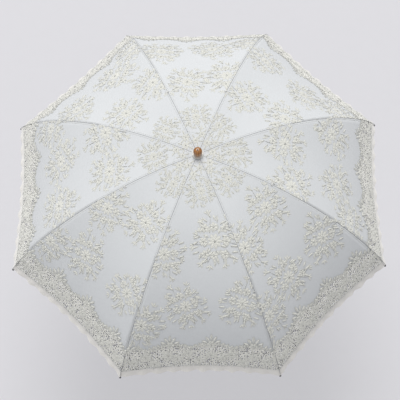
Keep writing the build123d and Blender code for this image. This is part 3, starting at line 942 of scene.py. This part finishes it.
def flat_size(piece):
    """Width and area of a sheet before it was hung, from its flat map."""
    mesh = piece.data
    flat = np.empty(len(mesh.loops) * 2)
    mesh.uv_layers["flat"].data.foreach_get("uv", flat)
    flat = flat.reshape(-1, 2)
    area = 0.0
    for face in mesh.polygons:
        x, y = flat[face.loop_start:face.loop_start + face.loop_total].T
        area += abs(np.dot(x, np.roll(y, -1)) - np.dot(y, np.roll(x, -1))) / 2
    return float(np.ptp(flat[:, 0])), float(area)


def tidy_mesh(made, upwards=False):
    """Merges doubled points and shades smooth; a sheet's faces are turned away from the shaft."""
    mesh = bmesh.new()
    mesh.from_mesh(made.data)
    bmesh.ops.remove_doubles(mesh, verts=mesh.verts, dist=1e-5)
    if upwards:
        mesh.normal_update()
        bmesh.ops.reverse_faces(mesh, faces=[f for f in mesh.faces if f.normal.z < 0])
    mesh.to_mesh(made.data)
    mesh.free()
    made.data.polygons.foreach_set("use_smooth", [True] * len(made.data.polygons))
    return made


def thicken(made):
    modifier = made.modifiers.new("thickness", "SOLIDIFY")
    modifier.thickness = 0.0004
    modifier.offset = -1
    return made


sheets = []


def make_cloth(rib):
    """Ground cloth over one rib: one inner piece, and an outer piece on each side of it."""
    halves = [lay_sheet(gore, *half_gore_cloth("inner", side)) for gore, side in beside(rib)]
    inner = thicken(tidy_mesh(join(halves, f"cloth_inner_{rib}"), upwards=True))
    size = (2 * half_width(RIVET_DOWN + CUT_OVERLAP), RIVET_DOWN + CUT_OVERLAP)
    sheets.append((inner, rib, "inner", 0, size))
    for gore, side in beside(rib):
        points, faces = half_gore_cloth("outer", side)
        outer = thicken(tidy_mesh(lay_sheet(gore, points, faces), upwards=True))
        outer.name = outer.data.name = f"cloth_outer_{rib}_{'left' if side > 0 else 'right'}"
        size = (half_width(LENGTH), float(points[:, 1].max() - RIVET_DOWN))
        sheets.append((outer, rib, "outer", -side, size))


# ---------------------------- lace border

def in_border(points):
    """Which flat points lie in the net of the border."""
    share = np.clip(points[:, 0] / half_width(points[:, 1]), -1.05, 1.05)
    bottom = edge_down(share) - EDGING + 0.003
    return (points[:, 1] > band_top(share) + 0.003) & (points[:, 1] < bottom)


def net_drawing(seed):
    """Edges of the border's net, flat, cut to the scallops."""
    wide = 2 * half_width(LENGTH) + 0.02
    long = BAND_LOW + BAND_RISE + EDGE_HOLLOW + 0.01
    start = mesh_object("net", [(0, 0, 0)])
    mesh = run_nodes(start, trees["net"], {
        "Width": wide, "Length": long, "Columns": int(wide / NET_CELL), "Rows": int(long / NET_CELL),
        "Pull": NET_PULL, "Seed": seed, "Finish": finishes["lace_thread"]}, "net")
    points = coordinates(mesh) + (0, LENGTH + 0.004 - long / 2, 0)
    edges = np.empty(len(mesh.edges) * 2, int)
    mesh.edges.foreach_get("vertices", edges)
    edges = edges.reshape(-1, 2)
    bpy.data.meshes.remove(mesh)
    inside = in_border(points)
    return points, edges[inside[edges].all(axis=1)]


def make_border(gore):
    """Net of one gore's border, its two edge cords, and what is worked over it."""
    turn = middle_of(gore)
    points, edges = net_drawing(float(gore))
    # The net's near-black thread is painted shade that makes the lace's holes read dark.
    net = tubes(mesh_object("net", points, edges=edges), NET_THREAD, "lace_thread", 3)
    store("border", gore, bend_mesh(net, turn, 0.0001, 0.35))
    shares = np.linspace(-1.02, 1.02, 150)
    lines = []
    for rise in (EDGING, EDGING + 0.0035):
        down = edge_down(shares) - rise
        lines.append(np.stack([shares * half_width(down), down, np.full_like(shares, 0.0008)], axis=1))
    cords = threads("border_cords", lines, 0.0016, "embroidery_cord")
    store("border_cords", gore, bend_mesh(cords, turn, 0.0002, 0.8))
    wide = half_width(LENGTH)

    def narrowed(down):
        """Share of the gore's full width at this distance from the shaft."""
        return half_width(down) / wide

    flowers, crests = [], []
    for i in range(-3, 4):
        across = (i + 0.28) * SCALLOP
        share = across / wide
        if abs(share) < 1.15:
            top = edge_down(min(abs(share), 1)) - BAND_LOW - BAND_RISE
            crests.append((across * narrowed(top), top, 0, uniform(0.95, 1.1)))
    for i in range(-16, 17):
        across = i * FLOWER_STEP + uniform(-0.003, 0.003)
        share = across / wide
        if abs(share) < 1.05:
            down = edge_down(share) - EDGING - FLOWER_ROWS[i % 4] + uniform(-0.003, 0.003)
            flowers.append((across * narrowed(down), down, uniform(0, 360), uniform(0.75, 0.95)))
    embroider("border_cords", gore, "border_flower", flowers, 0.0006)
    embroider("border_cords", gore, "crest", crests, 0.0006)
    picots = []
    for across in np.arange(-wide, wide, PICOT_STEP):
        share = across / wide
        down = band_top(share)
        picots.append((across * narrowed(down), down + 0.001, -90 + uniform(-35, 35),
                       uniform(0.8, 1.2)))
    embroider("border_cords", gore, "picot", picots, 0.0004)
    eyelets = []
    for row in range(1, 8):
        for across in np.arange(-wide, wide, EYELET_STEP):
            share = (across + uniform(-0.3, 0.3) * EYELET_STEP + row % 2 * EYELET_STEP / 2) / wide
            down = edge_down(share) - EDGING - (row - 0.5) * EYELET_STEP * 0.87
            down += uniform(-0.2, 0.2) * EYELET_STEP
            if abs(share) < 1 and down > band_top(share) + 0.002:
                eyelets.append((share * half_width(down), down, uniform(0, 360),
                                uniform(0.8, 1.08)))
    embroider("border_cords", gore, "eyelet", eyelets, 0.0006, "eyelet_thread")


def make_edging(gore):
    """Woven band along the edge, with a gently waving free side."""
    columns, rows = 120, 9
    shares = np.linspace(-1, 1, columns)
    across = shares * half_width(LENGTH)
    wave = np.sin(across / WAVE_LENGTH * 2 * math.pi + gore)
    wave += 0.7 * np.sin(across / WAVE_LENGTH * 4.1 + 2.1 * gore) + 0.5 * np.sin(across / WAVE_LENGTH * 9.7)
    points = []
    for t in np.linspace(0, 1, rows):
        down = edge_down(shares) - EDGING * (1 - t) + t * (wave - 0.6) * EDGE_WAVE * (1 - shares ** 6)
        lift = 0.0004 + t * 0.0016 * np.sin(across / WAVE_LENGTH * 2 * math.pi + 1.2 + gore)
        points.append(np.stack([shares * half_width(down), down, lift], axis=1))
    points = np.concatenate(points)
    made = mesh_object("edging", points, cloth_grid(rows, columns), flat=points[:, :2], finish="edging")
    mesh = made.data
    bpy.data.objects.remove(made)
    store("edging", gore, bend_mesh(mesh, middle_of(gore)))


def make_sprays(gore):
    """Embroidered sprays over one gore, each a little off its place in the pattern."""
    sprays, sprigs = [], []
    for across, down, angle, size in SPRAYS:
        across += uniform(-0.008, 0.008)
        down += uniform(-0.008, 0.008)
        angle += uniform(-18, 18)
        sprays.append((across, down, angle, uniform(0.92, 1.06) * SPRAY_SIZE * size))
    for across, down in SPRIGS:
        sprigs.append((across, down, uniform(0, 360), uniform(0.6, 0.75)))
    embroider("sprays", gore, "spray", sprays, 0.0002, level=CUT_LEVEL)
    embroider("sprays", gore, "sprig", sprigs, 0.0002, level=CUT_LEVEL)


# ---------------------------- seams and top patch

def make_seam(rib):
    """Tape over the seam along a rib, in an inner and an outer piece."""
    ends = {"inner": (0.014, RIVET_DOWN + 0.003), "outer": (RIVET_DOWN - 0.003, LENGTH - 0.004)}
    for part, (first, last) in ends.items():
        down = np.linspace(first, last, 60)
        over = 0.0014 * np.clip((down - LENGTH + BAND_LOW + 0.01) / 0.012, 0, 1)
        tape = [np.stack([-half_width(down) + inside, down, lift + over], axis=1)
                for inside, lift in ((0.0006, 0.0), (0.0004, 0.0003), (0.0, 0.0004))]
        left = np.concatenate(tape)
        halves = [lay_sheet(gore, left * (-side, 1, 1), cloth_grid(3, len(down)), "seam_thread")
                  for gore, side in beside(rib)]
        tape = tidy_mesh(join(halves, f"seam_{part}_{rib}"), upwards=True)
        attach(tape, f"rib_{rib}" if part == "inner" else f"rib_end_{rib}")


def make_patch(rib):
    """Wedge of the round lining at the top, under the cloth."""
    start, count = 0.008, 8
    wedges = []
    for gore, side in beside(rib):
        points = []
        for radius in np.linspace(start, PATCH_RADIUS, count):
            for share in np.linspace(0, side, count):
                down = radius * math.cos(HALF) / math.cos(HALF * abs(share))
                points.append((share * half_width(down), down, -0.0009))
        wedges.append(lay_sheet(gore, np.array(points), cloth_grid(count, count)))
    patch = tidy_mesh(join(wedges, f"top_patch_{rib}"), upwards=True)
    sheets.append((patch, rib, "inner", 0, (2 * half_width(PATCH_RADIUS), PATCH_RADIUS - start)))


def make_stitches(gore):
    """Running stitches beside both seams and round the top patch."""
    lines = []
    for side in (-1, 1):
        for down in np.arange(0.02, LENGTH - 0.03, 0.0042):
            across = side * (half_width(down) - 0.0034)
            lines.append([(across, down, 0.0003), (across, down + 0.0026, 0.0003)])
    for share in np.linspace(-0.95, 0.95, 11):
        down = PATCH_STITCHING * math.cos(HALF) / math.cos(HALF * abs(share))
        width = half_width(down)
        lines.append([((share - 0.035) * width, down, 0.0008), ((share + 0.035) * width, down, 0.0008)])
    mesh = threads("stitches", lines, 0.0006, "outline_stitch", 3)
    store("stitches", gore, bend_mesh(mesh, middle_of(gore)), CUT_LEVEL)


def make_tack(rib):
    """Small bar of white thread that holds the cloth to its rib."""
    middle = 0.001 - half_width(0.30 * LENGTH)
    lines = []
    for down in 0.30 * LENGTH + 0.0009 * np.arange(5):
        lines.append([(middle + across, down, lift)
                      for across, lift in ((-0.004, 0.0006), (0, 0.0017), (0.004, 0.0006))])
    piece = link(f"tack_{rib}", bend_mesh(threads("tack", lines, 0.0009, "tack_thread", 5), middle_of(rib)))
    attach(piece, f"rib_{rib}")


# ---------------------------- building it all

def clean_up(*objects):
    for made in objects:
        bpy.data.objects.remove(made)


def gather_stock():
    """Joins what was shared out into one piece for each kind, rib, part and side."""
    pieces = {}
    for (kind, rib, part, side), meshes in sorted(stock.items()):
        key = (kind, rib, part, 0 if part == "inner" else side)
        pieces.setdefault(key, []).extend(link(kind, mesh) for mesh in meshes)
    done = {}
    for (kind, rib, part, side), objects in pieces.items():
        tail = "" if part == "inner" else "_left" if side < 0 else "_right"
        name = f"{kind}_{part}_{rib}{tail}"
        piece = join(objects, name) if len(objects) > 1 else objects[0]
        piece.name = piece.data.name = name
        tidy_mesh(piece)
        done[kind, rib, part, side] = piece
    return done


def dress_frame():
    """Gives every CAD node left showing its finish, by its slot."""
    for entry in frame["record"]["subparts"]:
        made = frame["nodes"][entry["node"]]
        finish = finishes.get(entry["material_slot"])
        if finish:
            made.data.materials.clear()
            made.data.materials.append(finish)


def add_stage():
    """Pale table lit a little from beneath."""
    made, tree, shader, place = material("pale_floor", 0.9)
    paint(tree, shader, noise(tree, place, 30.0, 3.0), (0.29, 0.286, 0.30), (0.305, 0.30, 0.315))
    shader.inputs["Emission Color"].default_value = (0.975, 0.97, 1.0, 1)
    shader.inputs["Emission Strength"].default_value = 0.42
    mesh = bpy.data.meshes.new("floor")
    reach = 30.0
    corners = [(x * reach, y * reach, 0) for x, y in ((-1, -1), (1, -1), (1, 1), (-1, 1))]
    mesh.from_pydata(corners, [], [(0, 1, 2, 3)])
    mesh.materials.append(made)
    link("floor", mesh)


def add_light(name, place, target, size, power, colour):
    data = bpy.data.lights.new(name, "AREA")
    data.shape = "DISK"
    data.size = size
    data.energy = power
    data.color = colour
    made = link(name, data)
    made.location = place
    made.rotation_euler = (Vector(target) - Vector(place)).to_track_quat("-Z", "Y").to_euler()


def add_lights():
    add_light("window", (-0.3, 4.5, 8.5), (0, 0, 0.5), 5.5, 605, (1.0, 0.995, 0.985))
    add_light("fill", (-5.2, -4.6, 2.6), (0, 0, 0.5), 5.0, 58, (0.99, 0.995, 1.0))
    world = bpy.data.worlds.new("studio")
    world.use_nodes = True
    backdrop = world.node_tree.nodes["Background"]
    backdrop.inputs[0].default_value = (0.93, 0.94, 0.97, 1)
    backdrop.inputs[1].default_value = 0.485
    bpy.context.scene.world = world


add_camera()
add_stage()
add_lights()
bpy.context.scene.view_settings.view_transform = "Standard"
dress_frame()
drawings = {"spray": draw_spray(), "sprig": draw_sprig(), "border_flower": draw_border_flower(),
            "crest": draw_crest(), "picot": draw_picot(), "eyelet": draw_eyelet()}
for number in range(1, RIBS + 1):
    make_sprays(number)
    make_border(number)
    make_edging(number)
    make_stitches(number)
clean_up(*drawings.values())
pieces = gather_stock()
for number in range(1, RIBS + 1):
    make_cloth(number)
    make_patch(number)
    make_seam(number)
    make_tack(number)
for (kind, rib, part, side), piece in pieces.items():
    fold(piece, rib, part)
    if kind == "edging":
        width, area = flat_size(piece)
for piece, rib, part, side, size in sheets:
    fold(piece, rib, part)
    if piece.name.startswith("cloth"):
        if part == "inner":
            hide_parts(f"gore_{rib}")
    flat_size(piece)[1]
